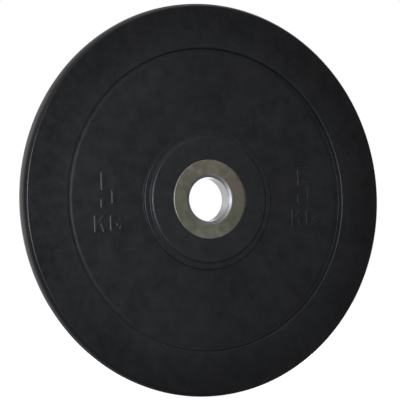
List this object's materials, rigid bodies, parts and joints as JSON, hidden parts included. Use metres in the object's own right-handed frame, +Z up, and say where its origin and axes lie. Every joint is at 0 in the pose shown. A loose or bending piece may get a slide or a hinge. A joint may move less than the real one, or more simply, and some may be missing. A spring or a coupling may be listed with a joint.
{
  "type": "bumper plate",
  "caption": "Round black rubber weight plate with raised rim, recessed web, raised weight marks and a flanged steel hub with a bore for a barbell sleeve.",
  "frame": {"origin": "centre of the bore, midway between the two faces", "axes": "+Y along the bore from the front face to the rear face, +Z up as the plate stands, +X to the right seen from the front"},
  "size_m": [0.45, 0.022, 0.45],
  "materials": {
    "rubber": "moulded, semi-matt",
    "plated_steel": "turned, dull passivated plating",
    "turned_steel": "turned bright steel with tool marks",
    "plain_steel": "plain mill finish, hidden in the rubber"
  },
  "bodies": {
    "root": {"rubber_disc": "rubber", "front_hub_ring": "plated_steel", "rear_hub_ring": "plated_steel", "hub_sleeve": "turned_steel", "anchor_disc": "plain_steel"}
  },
  "joints": []
}
